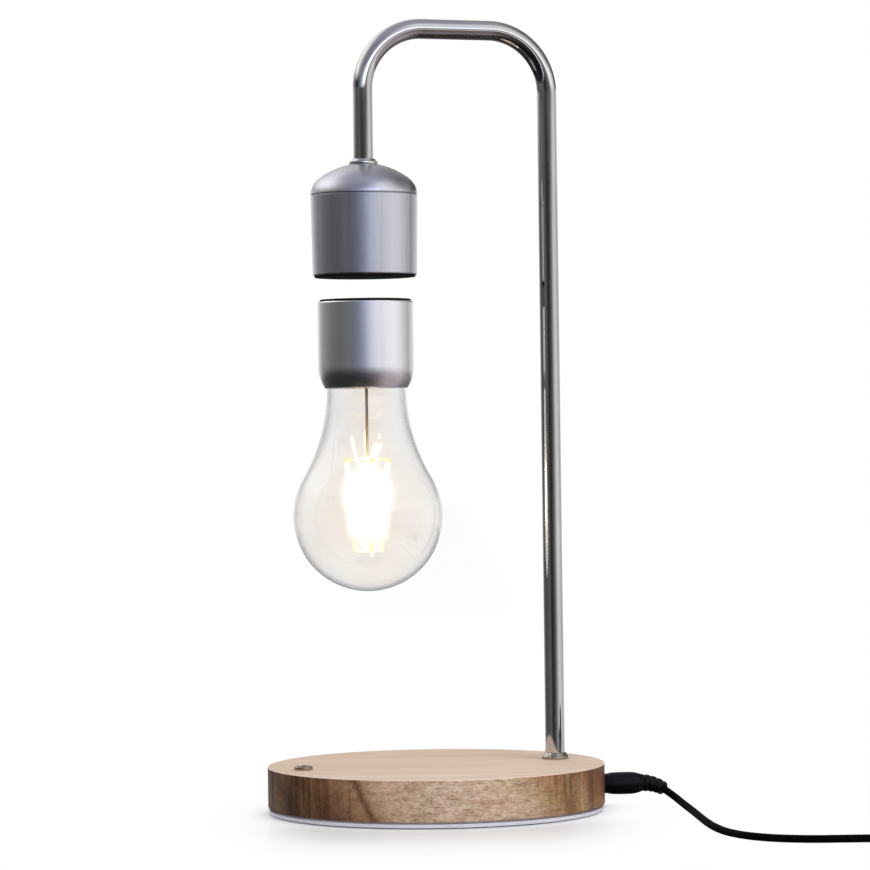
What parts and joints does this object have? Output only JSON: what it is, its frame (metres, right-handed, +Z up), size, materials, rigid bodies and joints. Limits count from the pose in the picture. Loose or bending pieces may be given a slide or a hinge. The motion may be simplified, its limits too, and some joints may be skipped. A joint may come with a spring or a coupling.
{
  "type": "levitating lamp",
  "caption": "Table lamp whose light bulb floats under a magnetic head held by a swan-neck tube over a round wooden base, with a push button and a plug-in power lead.",
  "frame": {"origin": "middle of the round base on the table, under its foot pads", "axes": "+Z up, +X from the button towards the post; the bulb, the arm and the button lie in the XZ plane"},
  "size_m": [0.2852, 0.2564, 0.32],
  "materials": {
    "wood": "clear matt oil",
    "cover_paint": "satin",
    "pad_rubber": "matt",
    "screw_steel": "plain",
    "board_green": "lacquer",
    "standoff_brass": "plain",
    "part_black": "matt",
    "nylon_white": "matt",
    "chrome": "polished",
    "contact_nickel": "nickel plate",
    "cable_black": "satin",
    "aluminium": "brushed",
    "lid_black": "satin",
    "core_iron": "plain",
    "copper": "enamelled wire",
    "clear_glass": "clear",
    "filament_wire": "plain",
    "led_phosphor": "lit",
    "plug_rubber": "satin",
    "adapter_black": "matt"
  },
  "bodies": {
    "stand": {"base_block": "wood", "base_cover": "cover_paint", "foot_pads": "pad_rubber", "cover_screws": "screw_steel", "board_screws": "screw_steel", "bezel_nut": "screw_steel", "post_washer": "screw_steel", "post_nut": "screw_steel", "collar_nut": "screw_steel", "core_screw": "screw_steel", "button_spring": "screw_steel", "control_board": "board_green", "sensor_board": "board_green", "board_standoffs": "standoff_brass", "board_parts": "part_black", "push_switch": "part_black", "hall_sensor": "part_black", "dc_jack": "part_black", "arm_socket": "nylon_white", "coil_bobbin": "nylon_white", "button_bezel": "chrome", "arm_tube": "chrome", "post_ring": "chrome", "head_collar": "chrome", "jack_pin": "contact_nickel", "arm_cable": "cable_black", "head_dome": "aluminium", "head_shell": "aluminium", "head_cover": "lid_black", "core_plate": "core_iron", "iron_core": "core_iron", "coil_winding": "copper", "transmit_coil": "copper"},
    "float": {"bulb_magnet": "contact_nickel"},
    "bulb": {"bulb_cap": "aluminium", "cap_lid": "lid_black", "receive_coil": "copper", "bulb_board": "board_green", "bulb_glass": "clear_glass", "glass_stem": "clear_glass", "filament_rod": "filament_wire", "filament_stars": "filament_wire", "led_filaments": "led_phosphor"},
    "button": {"button_cap": "chrome"},
    "plug": {"plug_body": "plug_rubber", "plug_barrel": "contact_nickel", "plug_boot": "plug_rubber", "cord_run": "cable_black", "cord_coil": "cable_black", "coil_tie": "plug_rubber", "cord_tail": "cable_black", "adapter_boot": "plug_rubber", "adapter_case": "adapter_black", "adapter_lid": "adapter_black", "mains_pins": "contact_nickel"}
  },
  "joints": [
    {"name": "bulb_float", "type": "slide", "parent": "stand", "child": "float", "axis": [0, 0, 1], "range_m": [-0.07, 0.008], "stiffness_N_per_m": 150, "springref_m": 0.00604},
    {"name": "bulb_spin", "type": "hinge", "parent": "float", "child": "bulb", "pos_m": [-0.0275, 0, 0.1], "axis": [0, 0, 1], "continuous": true},
    {"name": "button_press", "type": "slide", "parent": "stand", "child": "button", "axis": [0, 0, -1], "range_m": [0, 0.0012], "stiffness_N_per_m": 400, "springref_m": -0.001, "deforming": ["button_spring"]},
    {"name": "plug_pull", "type": "slide", "parent": "stand", "child": "plug", "axis": [0.9703, -0.2419, 0], "range_m": [0, 0.014]}
  ]
}
